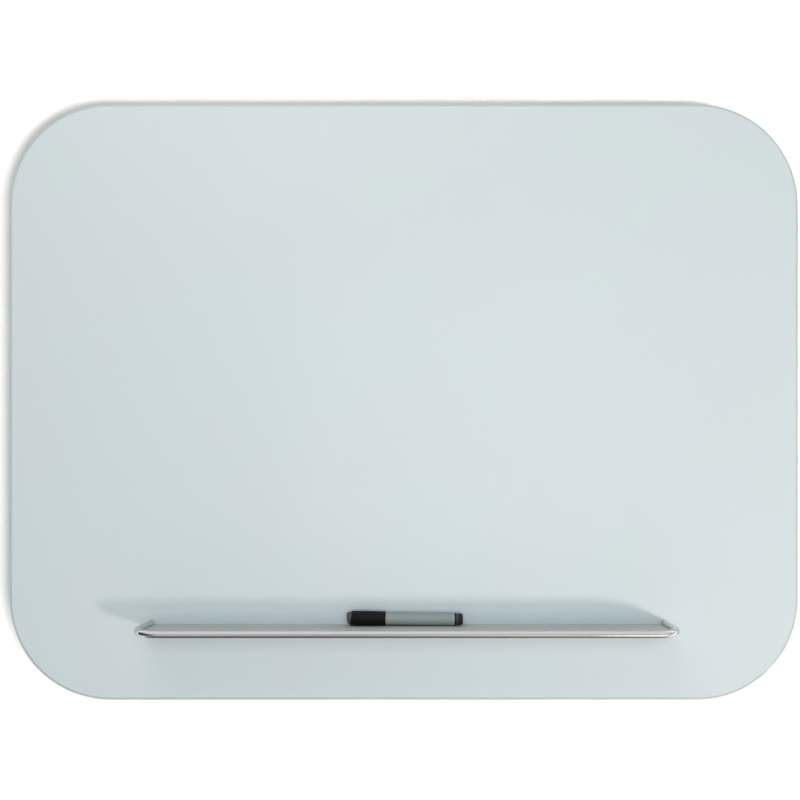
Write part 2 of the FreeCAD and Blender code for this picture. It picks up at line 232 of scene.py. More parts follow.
def polished_edge():
    """Edge of the pane: iron in the glass shows as green, deeper towards the back."""
    grind = 2 * mm
    material, tree, shader, place = new_material("polished_glass_edge")
    split = add(tree, "ShaderNodeSeparateXYZ", {"Vector": place})
    depth = add(
        tree,
        "ShaderNodeMapRange",
        {"Value": split.outputs["Y"], "From Min": glass_low.y + bevel_depth, "From Max": glass_high.y},
    )
    tone = add(
        tree,
        "ShaderNodeMix",
        {0: depth.outputs[0], 6: linear("#B9C6C6"), 7: linear("#7FA39A")},
        data_type="RGBA",
    )
    ground = add(tree, "ShaderNodeTexNoise", {"Vector": place, "Scale": 1 / grind, "Detail": 2.0})
    gloss = add(tree, "ShaderNodeMapRange", {"Value": ground.outputs[0], "To Min": 0.06, "To Max": 0.16})
    feed(tree, shader, {"Base Color": tone.outputs[2], "Roughness": gloss.outputs[0], "IOR": 1.52})
    return material


pane = piece_from("glass_sheet", glass_sheet(), enamelled_glass(), polished_edge())
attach(pane, "board")
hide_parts("glass_pane")


# Back enamel and adhesive film: a fired pale enamel coat on the back of the glass, and the clear film that glues the
# steel sheet to it. Only a narrow border of the enamel shows from behind.
fired_enamel = moulded("fired_enamel", "#CFD9D9", "#DCE4E4", 0.8 * mm, (0.45, 0.6), 0.02 * mm)
dress(fired_enamel, "back_enamel")
clear_film = moulded("adhesive_film", "#C9C8BE", "#DAD8CC", 0.9 * mm, (0.3, 0.5), 0.02 * mm)
dress(clear_film, "adhesive_film")


# Steel sheet: 0.8 mm galvanised steel that makes the board magnetic. The zinc froze in large leaf-like crystals,
# each of which takes the light its own way.
def galvanised_steel():
    """Hot-dip zinc: grey crystals some 12 mm across, with feathery streaks inside them."""
    crystal = 12 * mm
    feather = 1.5 * mm
    feather_share = 0.3
    material, tree, shader, place = new_material("galvanised_steel")
    warp = add(tree, "ShaderNodeTexNoise", {"Vector": place, "Scale": 1 / crystal, "Detail": 2.0})
    bent = add(
        tree,
        "ShaderNodeVectorMath",
        {0: warp.outputs["Color"], 1: (crystal, crystal, crystal), 2: place},
        operation="MULTIPLY_ADD",
    )
    spangle = add(tree, "ShaderNodeTexVoronoi", {"Vector": bent.outputs[0], "Scale": 1 / crystal})
    streaks = add(tree, "ShaderNodeTexNoise", {"Vector": place, "Scale": 1 / feather, "Detail": 3.0})
    mixed = add(
        tree,
        "ShaderNodeMix",
        {0: feather_share, 6: spangle.outputs["Color"], 7: streaks.outputs["Color"]},
        data_type="RGBA",
    )
    grey = add(tree, "ShaderNodeRGBToBW", {"Color": mixed.outputs[2]})
    tone = add(
        tree,
        "ShaderNodeMix",
        {0: grey.outputs[0], 6: linear("#8B9194"), 7: linear("#C4CACC")},
        data_type="RGBA",
    )
    gloss = add(tree, "ShaderNodeMapRange", {"Value": grey.outputs[0], "To Min": 0.3, "To Max": 0.55})
    feed(tree, shader, {"Base Color": tone.outputs[2], "Metallic": 1.0, "Roughness": gloss.outputs[0]})
    return material


zinc_spangle = galvanised_steel()
dress(zinc_spangle, "steel_sheet")

# Hanger rails and their foam tape: the same hook profile, upside down, bedded on black acrylic foam so that the
# board hangs without a rattle.
acrylic_foam = moulded("acrylic_foam", "#2B2C2E", "#3C3D40", 0.6 * mm, (0.8, 0.95), 0.15 * mm)
dress(mill_aluminium, "hanger_rail_top", "hanger_rail_bottom")
dress(acrylic_foam, "hanger_tape_top", "hanger_tape_bottom")


# Weld studs, washers and nuts: zinc-plated M4 hardware. The studs are shot-welded to the steel sheet, and each nut
# pulls its hanger rail onto the tape.
def middles(node, reach):
    """Middle of each like solid of a node whose solids stand further apart than reach."""
    groups = []
    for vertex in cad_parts[node].data.vertices:
        near = [group for group in groups if (vertex.co - group[0]).length < reach]
        if near:
            near[0].append(vertex.co)
        else:
            groups.append([vertex.co])
    corners = [
        [Vector([pick(co[axis] for co in group) for axis in range(3)]) for pick in (min, max)] for group in groups
    ]
    return [(low + high) / 2 for low, high in corners]


def point_cloud(name, places):
    """Object whose loose points mark where a part repeats."""
    mesh = bpy.data.meshes.new(name)
    mesh.from_pydata(places, [], [])
    cloud = bpy.data.objects.new(name, mesh)
    bpy.context.scene.collection.objects.link(cloud)
    return cloud


def new_tree(name, sizes):
    """New geometry tree with its named inputs: gives it with its input and output nodes."""
    tree = bpy.data.node_groups.new(name, "GeometryNodeTree")
    tree.interface.new_socket("Geometry", in_out="INPUT", socket_type="NodeSocketGeometry")
    tree.interface.new_socket("Geometry", in_out="OUTPUT", socket_type="NodeSocketGeometry")
    for label, kind in sizes.items():
        tree.interface.new_socket(label, in_out="INPUT", socket_type="NodeSocket" + kind)
    return tree, add(tree, "NodeGroupInput"), add(tree, "NodeGroupOutput")


def grow(name, base, tree, sizes):
    """Run a geometry tree on a base object and keep what it makes as one plain mesh piece."""
    modifier = base.modifiers.new(name, "NODES")
    modifier.node_group = tree
    for socket in tree.interface.items_tree:
        if socket.name in sizes:
            modifier[socket.identifier] = sizes[socket.name]
    bpy.context.view_layer.update()
    made = base.evaluated_get(bpy.context.evaluated_depsgraph_get())
    mesh = bpy.data.meshes.new_from_object(made)
    mesh.name = name
    piece = bpy.data.objects.new(name, mesh)
    bpy.context.scene.collection.objects.link(piece)
    base.modifiers.remove(modifier)
    bpy.data.objects.remove(base)
    return piece


def repeat_tree():
    """Sets a copy of one part on every point."""
    tree, given, out = new_tree("repeat on points", {"Part": "Object", "Finish": "Material"})
    part = add(tree, "GeometryNodeObjectInfo", {"Object": given.outputs["Part"]})
    copies = add(
        tree,
        "GeometryNodeInstanceOnPoints",
        {"Points": given.outputs["Geometry"], "Instance": part.outputs["Geometry"]},
    )
    real = add(tree, "GeometryNodeRealizeInstances", {"Geometry": copies.outputs[0]})
    finish = add(
        tree,
        "GeometryNodeSetMaterial",
        {"Geometry": real.outputs[0], "Material": given.outputs["Finish"]},
    )
    feed(tree, out, {"Geometry": finish.outputs[0]})
    return tree


def as_drawn(angle, height, radius):
    """Shape of a plain turned part: every point stays where its profile has it."""
    return height, radius


def turned_part(profile, steps, shape=as_drawn):
    """Closed ring turned about Y from (height, radius) points, each placed by shape(angle, height, radius)."""
    part = bmesh.new()
    loops = []
    for step in range(steps):
        angle = 2 * math.pi * step / steps
        ring = []
        for height, radius in profile:
            rise, reach = shape(angle, height, radius)
            ring.append(part.verts.new((reach * math.cos(angle), rise, reach * math.sin(angle))))
        loops.append(ring)
    for near, far in zip(loops, loops[1:] + loops[:1]):
        for at in range(len(profile)):
            part.faces.new((near[at], far[at], far[at - 1], near[at - 1]))
    bmesh.ops.recalc_face_normals(part, faces=part.faces)
    return part


def hex_nut(flats, bore, thickness):
    """Hexagon nut along +Y: both ends are chamfered by a cone, which leaves curved edges on the flats."""
    end_radius = flats * 0.475
    chamfer_slope = math.tan(math.radians(30))
    lead_in = bore * 0.12
    steps = 48

    def chamfered(angle, height, radius):
        if radius is not None:
            return height, radius
        reach = flats / 2 / math.cos((angle + math.pi / 6) % (math.pi / 3) - math.pi / 6)
        drop = (reach - end_radius) * chamfer_slope
        return (thickness - drop if height > 0 else drop), reach

    profile = (
        (lead_in, bore),
        (0, bore + lead_in),
        (0, end_radius),
        (0, None),
        (thickness, None),
        (thickness, end_radius),
        (thickness, bore + lead_in),
        (thickness - lead_in, bore),
    )
    return turned_part(profile, steps, chamfered)


def flat_washer(outer, bore, thickness):
    """Punched washer along +Y, with its edge broken on the punch side."""
    edge = thickness * 0.2
    steps = 40
    profile = ((0, bore), (0, outer), (thickness - edge, outer), (thickness, outer - edge), (thickness, bore))
    return turned_part(profile, steps)


def thread_tree():
    """Sets a threaded stud on every point: weld foot, core, helical thread and plain tip."""
    tree, given, out = new_tree(
        "threaded studs",
        {"Length": "Float", "Radius": "Float", "Pitch": "Float", "Foot": "Float", "Finish": "Material"},
    )
    core_share = 0.86
    crest_share = 0.14
    plain_turns = 1.6
    half = add(tree, "ShaderNodeMath", {0: given.outputs["Length"], 1: 0.5}, operation="MULTIPLY")
    lift = add(tree, "ShaderNodeCombineXYZ", {"Z": half.outputs[0]})
    core_radius = add(tree, "ShaderNodeMath", {0: given.outputs["Radius"], 1: core_share}, operation="MULTIPLY")
    core = add(
        tree,
        "GeometryNodeMeshCylinder",
        {"Vertices": 24, "Radius": core_radius.outputs[0], "Depth": given.outputs["Length"]},
    )
    raised = add(tree, "GeometryNodeTransform", {"Geometry": core.outputs[0], "Translation": lift.outputs[0]})
    foot = add(
        tree,
        "GeometryNodeMeshCone",
        {
            "Vertices": 32,
            "Radius Top": given.outputs["Radius"],
            "Radius Bottom": given.outputs["Foot"],
            "Depth": given.outputs["Pitch"],
        },
    )
    turns = add(tree, "ShaderNodeMath", {0: given.outputs["Length"], 1: given.outputs["Pitch"]}, operation="DIVIDE")
    whole = add(tree, "ShaderNodeMath", {0: turns.outputs[0], 1: plain_turns}, operation="SUBTRACT")
    height = add(tree, "ShaderNodeMath", {0: whole.outputs[0], 1: given.outputs["Pitch"]}, operation="MULTIPLY")
    helix = add(
        tree,
        "GeometryNodeCurveSpiral",
        {
            "Resolution": 24,
            "Rotations": whole.outputs[0],
            "Start Radius": core_radius.outputs[0],
            "End Radius": core_radius.outputs[0],
            "Height": height.outputs[0],
        },
    )
    start = add(tree, "ShaderNodeCombineXYZ", {"Z": given.outputs["Pitch"]})
    wound = add(tree, "GeometryNodeTransform", {"Geometry": helix.outputs[0], "Translation": start.outputs[0]})
    crest = add(tree, "ShaderNodeMath", {0: given.outputs["Radius"], 1: crest_share}, operation="MULTIPLY")
    ridge = add(tree, "GeometryNodeCurvePrimitiveCircle", {"Resolution": 4, "Radius": crest.outputs[0]})
    thread = add(
        tree,
        "GeometryNodeCurveToMesh",
        {"Curve": wound.outputs[0], "Profile Curve": ridge.outputs[0], "Fill Caps": True},
    )
    stud = add(tree, "GeometryNodeJoinGeometry")
    for shape in (raised, foot, thread):
        tree.links.new(shape.outputs[0], stud.inputs[0])
    copies = add(
        tree,
        "GeometryNodeInstanceOnPoints",
        {
            "Points": given.outputs["Geometry"],
            "Instance": stud.outputs[0],
            "Rotation": (math.radians(-90), 0, 0),
        },
    )
    real = add(tree, "GeometryNodeRealizeInstances", {"Geometry": copies.outputs[0]})
    finish = add(
        tree,
        "GeometryNodeSetMaterial",
        {"Geometry": real.outputs[0], "Material": given.outputs["Finish"]},
    )
    feed(tree, out, {"Geometry": finish.outputs[0]})
    return tree


def zinc_plate():
    """Bright zinc plating: a bluish silver with faint yellow and violet clouds from the passivation."""
    cloud = 3 * mm
    material, tree, shader, place = new_material("zinc_plated_steel")
    clouds = add(tree, "ShaderNodeTexNoise", {"Vector": place, "Scale": 1 / cloud, "Detail": 3.0})
    tone = add(
        tree,
        "ShaderNodeMix",
        {0: clouds.outputs[0], 6: linear("#B4B9C4"), 7: linear("#CDCBBB")},
        data_type="RGBA",
    )
    gloss = add(tree, "ShaderNodeMapRange", {"Value": clouds.outputs[0], "To Min": 0.2, "To Max": 0.38})
    feed(tree, shader, {"Base Color": tone.outputs[2], "Metallic": 1.0, "Roughness": gloss.outputs[0]})
    return material


plated_steel = zinc_plate()
repeated = repeat_tree()
stud_low, stud_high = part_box("weld_studs")
washer_low, washer_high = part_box("stud_washers")
nut_low, nut_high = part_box("stud_nuts")
stud_spots = middles("stud_nuts", 20 * mm)
stud_radius = 2 * mm
stud_foot = 2.75 * mm
thread_pitch = 0.7 * mm
nut_flats = 7 * mm
washer_radius = 4.5 * mm
bore_clearance = 0.2 * mm

studs = grow(
    "threaded_studs",
    point_cloud("stud_spots", [(spot.x, stud_low.y, spot.z) for spot in stud_spots]),
    thread_tree(),
    {
        "Length": stud_high.y - stud_low.y,
        "Radius": stud_radius,
        "Pitch": thread_pitch,
        "Foot": stud_foot,
        "Finish": plated_steel,
    },
)
nut = piece_from("nut_pattern", hex_nut(nut_flats, stud_radius, nut_high.y - nut_low.y))
nuts = grow(
    "hex_nuts",
    point_cloud("nut_spots", [(spot.x, nut_low.y, spot.z) for spot in stud_spots]),
    repeated,
    {"Part": nut, "Finish": plated_steel},
)
ring = piece_from(
    "washer_pattern",
    flat_washer(washer_radius, stud_radius + bore_clearance, washer_high.y - washer_low.y),
)
washers = grow(
    "flat_washers",
    point_cloud("washer_spots", [(spot.x, washer_low.y, spot.z) for spot in stud_spots]),
    repeated,
    {"Part": ring, "Finish": plated_steel},
)
for pattern in (nut, ring):
    bpy.data.objects.remove(pattern)
for piece, node in ((studs, "weld_studs"), (nuts, "stud_nuts"), (washers, "stud_washers")):
    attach(piece, "board")
    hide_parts(node)


# Corner bumpers: moulded rubber buttons stuck to the steel sheet, which keep the pane parallel to the wall.
def rubber_button(radius, height):
    """Rubber button along +Y: straight foot, waist groove, rounded shoulder and a dished top."""
    shoulder = radius * 0.22
    dish = radius * 0.08
    dish_radius = radius * 0.55
    pinhole = radius * 0.02
    waist = radius - radius * 0.05
    groove_heights = [height * share for share in (0.18, 0.24, 0.32, 0.38)]
    shoulder_steps = 6
    steps = 48
    profile = [(0, pinhole), (0, radius), *zip(groove_heights, (radius, waist, waist, radius))]
    for step in range(shoulder_steps + 1):
        angle = math.radians(90 * step / shoulder_steps)
        rise = height - shoulder + shoulder * math.sin(angle)
        profile.append((rise, radius - shoulder + shoulder * math.cos(angle)))
    profile += [(height - dish, dish_radius), (height - dish, pinhole)]
    return turned_part(profile, steps)


moulded_rubber = moulded("moulded_rubber", "#202124", "#2C2D30", 0.5 * mm, (0.65, 0.85), 0.04 * mm)
bumper_low, bumper_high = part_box("corner_bumpers")
bumper_radius = 11 * mm
button = piece_from("bumper_pattern", rubber_button(bumper_radius, bumper_high.y - bumper_low.y))
bumpers = grow(
    "rubber_bumpers",
    point_cloud(
        "bumper_spots",
        [(spot.x, bumper_low.y, spot.z) for spot in middles("corner_bumpers", 4 * bumper_radius)],
    ),
    repeated,
    {"Part": button, "Finish": moulded_rubber},
)
bpy.data.objects.remove(button)
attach(bumpers, "board")
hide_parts("corner_bumpers")


# Tray rim: one 8 mm rod of satin metal, bent to a U with its open side to the glass.
# Drawing left hair lines that follow the rod round its bends.
def rod_tree():
    """Rounds the corners of a line and sweeps a round section along it, with the section kept as an attribute."""
    tree, given, out = new_tree(
        "bent rod",
        {"Rod radius": "Float", "Bend radius": "Float", "Bend steps": "Int", "Sides": "Int", "Finish": "Material"},
    )
    bent = add(
        tree,
        "GeometryNodeFilletCurve",
        {
            "Curve": given.outputs["Geometry"],
            "Count": given.outputs["Bend steps"],
            "Radius": given.outputs["Bend radius"],
        },
        mode="POLY",
    )
    travel = add(tree, "GeometryNodeSplineParameter")
    marked = add(
        tree,
        "GeometryNodeStoreNamedAttribute",
        {"Geometry": bent.outputs[0], "Name": "along", "Value": travel.outputs["Length"]},
        data_type="FLOAT",
        domain="POINT",
    )
    circle = add(
        tree,
        "GeometryNodeCurvePrimitiveCircle",
        {"Resolution": given.outputs["Sides"], "Radius": given.outputs["Rod radius"]},
    )
    spot = add(tree, "GeometryNodeInputPosition")
    section = add(
        tree,
        "GeometryNodeStoreNamedAttribute",
        {"Geometry": circle.outputs[0], "Name": "section", "Value": spot.outputs[0]},
        data_type="FLOAT_VECTOR",
        domain="POINT",
    )
    swept = add(
        tree,
        "GeometryNodeCurveToMesh",
        {"Curve": marked.outputs[0], "Profile Curve": section.outputs[0], "Fill Caps": True},
    )
    real = add(tree, "GeometryNodeRealizeInstances", {"Geometry": swept.outputs[0]})
    finish = add(
        tree,
        "GeometryNodeSetMaterial",
        {"Geometry": real.outputs[0], "Material": given.outputs["Finish"]},
    )
    feed(tree, out, {"Geometry": finish.outputs[0]})
    return tree


def drawn_rod():
    """Satin drawn metal: bright, a little soft in the highlight, with lengthwise hair lines."""
    hair = 0.35 * mm
    run = 400 * mm
    material, tree, shader, _ = new_material("satin_drawn_metal")
    section = add(tree, "ShaderNodeAttribute", attribute_name="section")
    along = add(tree, "ShaderNodeAttribute", attribute_name="along")
    slow = add(tree, "ShaderNodeMath", {0: along.outputs["Fac"], 1: hair / run}, operation="MULTIPLY")
    shift = add(tree, "ShaderNodeCombineXYZ", {"Z": slow.outputs[0]})
    drawn = add(tree, "ShaderNodeVectorMath", {0: section.outputs["Vector"], 1: shift.outputs[0]}, operation="ADD")
    lines = add(tree, "ShaderNodeTexNoise", {"Vector": drawn.outputs[0], "Scale": 1 / hair, "Detail": 3.0})
    tone = add(
        tree,
        "ShaderNodeMix",
        {0: lines.outputs[0], 6: linear("#C4C3C1"), 7: linear("#D6D5D3")},
        data_type="RGBA",
    )
    gloss = add(tree, "ShaderNodeMapRange", {"Value": lines.outputs[0], "To Min": 0.1, "To Max": 0.18})
    feed(tree, shader, {"Base Color": tone.outputs[2], "Metallic": 1.0, "Roughness": gloss.outputs[0]})
    return material


rim_low, rim_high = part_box("tray_rim")
rod_radius = (rim_high.z - rim_low.z) / 2
bend_radius = 30 * mm
rod_line = bpy.data.curves.new("rod_line", "CURVE")
rod_line.dimensions = "3D"
bends = rod_line.splines.new("POLY")
bends.points.add(3)
rod_middle = (rim_high.z + rim_low.z) / 2
rod_front = rim_low.y + rod_radius
rod_left = rim_low.x + rod_radius
rod_right = rim_high.x - rod_radius
corners = ((rod_left, rim_high.y), (rod_left, rod_front), (rod_right, rod_front), (rod_right, rim_high.y))
for point, (x, y) in zip(bends.points, corners):
    point.co = (x, y, rod_middle, 1)
rod_base = bpy.data.objects.new("rod_base", rod_line)
bpy.context.scene.collection.objects.link(rod_base)
rim = grow(
    "bent_rod_rim",
    rod_base,
    rod_tree(),
    {
        "Rod radius": rod_radius,
        "Bend radius": bend_radius,
        "Bend steps": 24,
        "Sides": 40,
        "Finish": drawn_rod(),
    },
)
for face in rim.data.polygons:
    face.use_smooth = len(face.vertices) == 4
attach(rim, "tray")
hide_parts("tray_rim")

# Tray floor: a flat sheet of the same satin metal inside the rim, grained along its length.
satin_sheet = lined_metal("satin_sheet_metal", "#B9BCBC", "#CDD0D0", 0.5 * mm, 60 * mm, (0.78, 0.88), 0.005 * mm)
dress(satin_sheet, "tray_floor")


# Weld beads: short runs under the floor that join it to the rod, laid as overlapping ripples and heat-tinted.
def bead_tree():
    """Lays overlapping ripples along each line."""
    tree, given, out = new_tree("weld ripples", {"Pitch": "Float", "Ripple": "Float", "Finish": "Material"})
    line = add(tree, "GeometryNodeMeshToCurve", {"Mesh": given.outputs["Geometry"]})
    spots = add(
        tree,
        "GeometryNodeResampleCurve",
        {"Curve": line.outputs[0], "Length": given.outputs["Pitch"]},
        mode="LENGTH",
    )
    drop = add(tree, "GeometryNodeMeshUVSphere", {"Segments": 14, "Rings": 8, "Radius": given.outputs["Ripple"]})
    copies = add(
        tree,
        "GeometryNodeInstanceOnPoints",
        {"Points": spots.outputs[0], "Instance": drop.outputs[0]},
    )
    real = add(tree, "GeometryNodeRealizeInstances", {"Geometry": copies.outputs[0]})
    smooth = add(tree, "GeometryNodeSetShadeSmooth", {"Geometry": real.outputs[0]})
    finish = add(
        tree,
        "GeometryNodeSetMaterial",
        {"Geometry": smooth.outputs[0], "Material": given.outputs["Finish"]},
    )
    feed(tree, out, {"Geometry": finish.outputs[0]})
    return tree


def weld_metal():
    """Weld metal: dull grey with straw and blue heat tints."""
    tint = 4 * mm
    material, tree, shader, place = new_material("weld_metal")
    heat = add(tree, "ShaderNodeTexNoise", {"Vector": place, "Scale": 1 / tint, "Detail": 2.0})
    tone = add(
        tree,
        "ShaderNodeMix",
        {0: heat.outputs[0], 6: linear("#85888F"), 7: linear("#A89F8C")},
        data_type="RGBA",
    )
    gloss = add(tree, "ShaderNodeMapRange", {"Value": heat.outputs[0], "To Min": 0.35, "To Max": 0.55})
    feed(tree, shader, {"Base Color": tone.outputs[2], "Metallic": 1.0, "Roughness": gloss.outputs[0]})
    return material


def bead_runs(points, axis):
    """Ends of the beads in a row along one axis: a bead has points at its two ends only."""
    ends = sorted({round(point[axis] / mm, 2) for point in points})
    return [(start * mm, end * mm) for start, end in zip(ends[::2], ends[1::2])]


floor_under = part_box("tray_floor")[0].z
ripple = 1.5 * mm
ripple_pitch = 1.1 * mm
ripple_sink = 0.45
weld_points = [vertex.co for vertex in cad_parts["rim_welds"].data.vertices]
front_points = [point for point in weld_points if point.y < rod_front + 2 * rod_radius]
side_points = [point for point in weld_points if point.y > rod_front + 2 * rod_radius]
bead_level = floor_under - ripple * ripple_sink
bead_ends = []
for start, end in bead_runs(front_points, 0):
    for x in (start + ripple, end - ripple):
        bead_ends.append((x, rod_front + rod_radius, bead_level))
for arm, inward in ((rod_left, 1), (rod_right, -1)):
    for start, end in bead_runs(side_points, 1):
        for y in (start + ripple, end - ripple):
            bead_ends.append((arm + inward * rod_radius, y, bead_level))
bead_mesh = bpy.data.meshes.new("bead_lines")
bead_mesh.from_pydata(bead_ends, [(at, at + 1) for at in range(0, len(bead_ends), 2)], [])
bead_base = bpy.data.objects.new("bead_base", bead_mesh)
bpy.context.scene.collection.objects.link(bead_base)
beads = grow(
    "weld_beads",
    bead_base,
    bead_tree(),
    {"Pitch": ripple_pitch, "Ripple": ripple, "Finish": weld_metal()},
)
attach(beads, "tray")
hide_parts("rim_welds")

# Magnet bar, magnets and grip strip: a galvanised channel under the back of the floor holds six nickel-plated block
# magnets behind a clear silicone strip. Rubber pads close the two cut ends of the rod.
nickel_plate = lined_metal("nickel_plated_magnet", "#A09D94", "#B8B5AC", 0.8 * mm, 20 * mm, (0.22, 0.36), 0.005 * mm)
silicone = moulded("translucent_silicone", "#B9C0C0", "#CBD1D0", 0.6 * mm, (0.35, 0.5), 0.01 * mm)
dress(zinc_spangle, "magnet_bar")
dress(nickel_plate, "tray_magnets")
dress(silicone, "glass_pad")
dress(moulded_rubber, "rim_end_pads")


# Marker barrel: a moulded polypropylene tube in silver grey. A matt shrunk sleeve covers it from a little way behind
# the cap to the end collar.
def two_tone_and_highlight_band(name, step, first, second, grain, rough, shine=0.5):
    """Moulded plastic whose pair of tones changes along the marker, at X = step: a real change of colour on the
    barrel, a painted highlight band on the plug.
    """
    relief = 0.01 * mm
    material, tree, shader, place = new_material(name)
    split = add(tree, "ShaderNodeSeparateXYZ", {"Vector": place})
    beyond = add(tree, "ShaderNodeMath", {0: split.outputs["X"], 1: step}, operation="GREATER_THAN")
    specks = add(tree, "ShaderNodeTexNoise", {"Vector": place, "Scale": 1 / grain, "Detail": 2.0})
    tones = []
    for dark, light in (first, second):
        tones.append(
            add(
                tree,
                "ShaderNodeMix",
                {0: specks.outputs[0], 6: linear(dark), 7: linear(light)},
                data_type="RGBA",
            )
        )
    tone = add(
        tree,
        "ShaderNodeMix",
        {0: beyond.outputs[0], 6: tones[0].outputs[2], 7: tones[1].outputs[2]},
        data_type="RGBA",
    )
    gloss = add(tree, "ShaderNodeMapRange", {"Value": specks.outputs[0], "To Min": rough[0], "To Max": rough[1]})
    bump = add(tree, "ShaderNodeBump", {"Height": specks.outputs[0], "Distance": relief, "Strength": 1.0})
    feed(
        tree,
        shader,
        {
            "Base Color": tone.outputs[2],
            "Roughness": gloss.outputs[0],
            "Specular IOR Level": shine,
            "Normal": bump.outputs[0],
        },
    )
    return material


# Sleeved polypropylene: a warm grey collar of bare plastic, then the cooler, drier grey of the sleeve
bare_length = 9 * mm
barrel_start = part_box("marker_barrel")[0].x
sleeved_barrel = two_tone_and_highlight_band(
    "sleeved_polypropylene",
    barrel_start + bare_length,
    ("#959591", "#9B9B97"),
    ("#8C9495", "#969E9F"),
    0.6 * mm,
    (0.38, 0.52),
)
dress(sleeved_barrel, "marker_barrel")

# Marker insides: a white polypropylene nib holder, a felt nib soaked black, and the fibre ink reservoir.
holder_plastic = moulded("white_polypropylene", "#D5D6D3", "#E3E4E1", 0.5 * mm, (0.35, 0.5), 0.01 * mm)
ink_felt = moulded("inked_felt", "#131315", "#242428", 0.25 * mm, (0.85, 1.0), 0.12 * mm)
dress(holder_plastic, "marker_nib_holder")
dress(ink_felt, "marker_nib", "ink_reservoir")

# Marker end: a thin black collar, and the dark plug that closes the barrel, with a painted highlight: a paler band
# against the collar, where the plug's neck catches the light.
painted_highlight_length = 2.2 * mm
collar_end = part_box("marker_end_collar")[1].x
collar_black = moulded("black_polypropylene", "#0E1012", "#141618", 0.4 * mm, (0.4, 0.55), 0.02 * mm, shine=0.15)
# The first pair of tones is a painted highlight on the plug's neck; the second is the plug's own dark grey.
plug_plastic = two_tone_and_highlight_band(
    "dark_polypropylene",
    collar_end + painted_highlight_length,
    ("#48444C", "#504C54"),
    ("#211F23", "#29272B"),
    0.4 * mm,
    (0.4, 0.55),
    shine=0.2,
)
dress(collar_black, "marker_end_collar")
dress(plug_plastic, "marker_end_plug")

# Marker cap: a black moulded shell with a slanted end, a grey button set in that end, and a soft seal inside.
cap_black = moulded("satin_black_polypropylene", "#121013", "#181619", 0.45 * mm, (0.4, 0.55), 0.02 * mm, shine=0.12)
button_grey = moulded("grey_polypropylene", "#4B494D", "#565458", 0.4 * mm, (0.4, 0.55), 0.02 * mm, shine=0.2)
soft_seal = moulded("soft_elastomer", "#8F918E", "#A3A5A2", 0.5 * mm, (0.55, 0.7), 0.02 * mm)
dress(cap_black, "marker_cap")
dress(button_grey, "cap_end_button")
dress(soft_seal, "cap_inner_seal")


# Room: a smooth white wall behind the board and a plain pale floor below it. The wall shows from its front only, so
# the back of the board can be seen from behind.
def stage_plane(name, corners, material):
    """Flat stage piece from its corners, counter-clockwise as seen from its front."""
    plane = bmesh.new()
    plane.faces.new([plane.verts.new(corner) for corner in corners])
    piece = piece_from(name, plane, material)
    return piece


def shown_directly(tree):
    """Two flags: 1 for rays that show a surface, straight or in metal and glass, and 1 for shadow rays."""
    path = add(tree, "ShaderNodeLightPath")
    seen = add(
        tree,
        "ShaderNodeMath",
        {0: path.outputs["Is Camera Ray"], 1: path.outputs["Is Glossy Ray"]},
        operation="MAXIMUM",
    )
    both = add(
        tree,
        "ShaderNodeMath",
        {0: seen.outputs[0], 1: path.outputs["Is Transmission Ray"]},
        operation="MAXIMUM",
    )
    return both.outputs[0], path.outputs["Is Shadow Ray"]


def white_wall():
    """Matt white paint, lifted by a glow to white where it is seen, and less so close to the board, which paints
    shade there; clear from behind.
    """
    roller = 6 * mm
    reach = 200 * mm
    closed_share = 0.88
    lift = 0.45
    gap_reach = 30 * mm
    first_bounce = 0.5
    material, tree, shader, place = new_material("white_wall_paint")
    seen, shadow = shown_directly(tree)
    stipple = add(tree, "ShaderNodeTexNoise", {"Vector": place, "Scale": 1 / roller, "Detail": 2.0})
    tone = add(
        tree,
        "ShaderNodeMix",
        {0: stipple.outputs[0], 6: linear("#C6C3C3"), 7: linear("#CAC7C7")},
        data_type="RGBA",
    )
    # Painted shade: the glow fades where the board closes the air in, so the wall darkens near the board.
    open_air = add(tree, "ShaderNodeAmbientOcclusion", {"Distance": reach}, samples=16)
    glow_away_from_board = add(
        tree,
        "ShaderNodeMapRange",
        {"Value": open_air.outputs["AO"], "From Min": closed_share, "To Max": lift},
    )
    glow = add(tree, "ShaderNodeMath", {0: seen, 1: glow_away_from_board.outputs[0]}, operation="MULTIPLY")
    feed(
        tree,
        shader,
        {
            "Base Color": tone.outputs[2],
            "Roughness": 1.0,
            "Specular IOR Level": 0.0,
            "Emission Color": linear("#FFFFFF"),
            "Emission Strength": glow.outputs[0],
        },
    )
    facing = add(tree, "ShaderNodeNewGeometry")
    clear = add(tree, "ShaderNodeBsdfTransparent")
    path = add(tree, "ShaderNodeLightPath")
    bounces = path.outputs["Diffuse Depth"]
    short = add(tree, "ShaderNodeMath", {0: path.outputs["Ray Length"], 1: gap_reach}, operation="LESS_THAN")
    early = add(tree, "ShaderNodeMath", {0: bounces, 1: first_bounce}, operation="LESS_THAN")
    # The metal on the board's back mirrors the room behind the wall: its short early rays pass
    behind = short.outputs[0]
    for share in (early.outputs[0], path.outputs["Is Glossy Ray"]):
        behind = add(tree, "ShaderNodeMath", {0: behind, 1: share}, operation="MULTIPLY").outputs[0]
    through = facing.outputs["Backfacing"]
    for share in (shadow, behind):
        through = add(tree, "ShaderNodeMath", {0: through, 1: share}, operation="MAXIMUM").outputs[0]
    one_sided = add(tree, "ShaderNodeMixShader", {0: through, 1: shader.outputs[0], 2: clear.outputs[0]})
    feed(tree, tree.nodes["Material Output"], {"Surface": one_sided.outputs[0]})
    return material


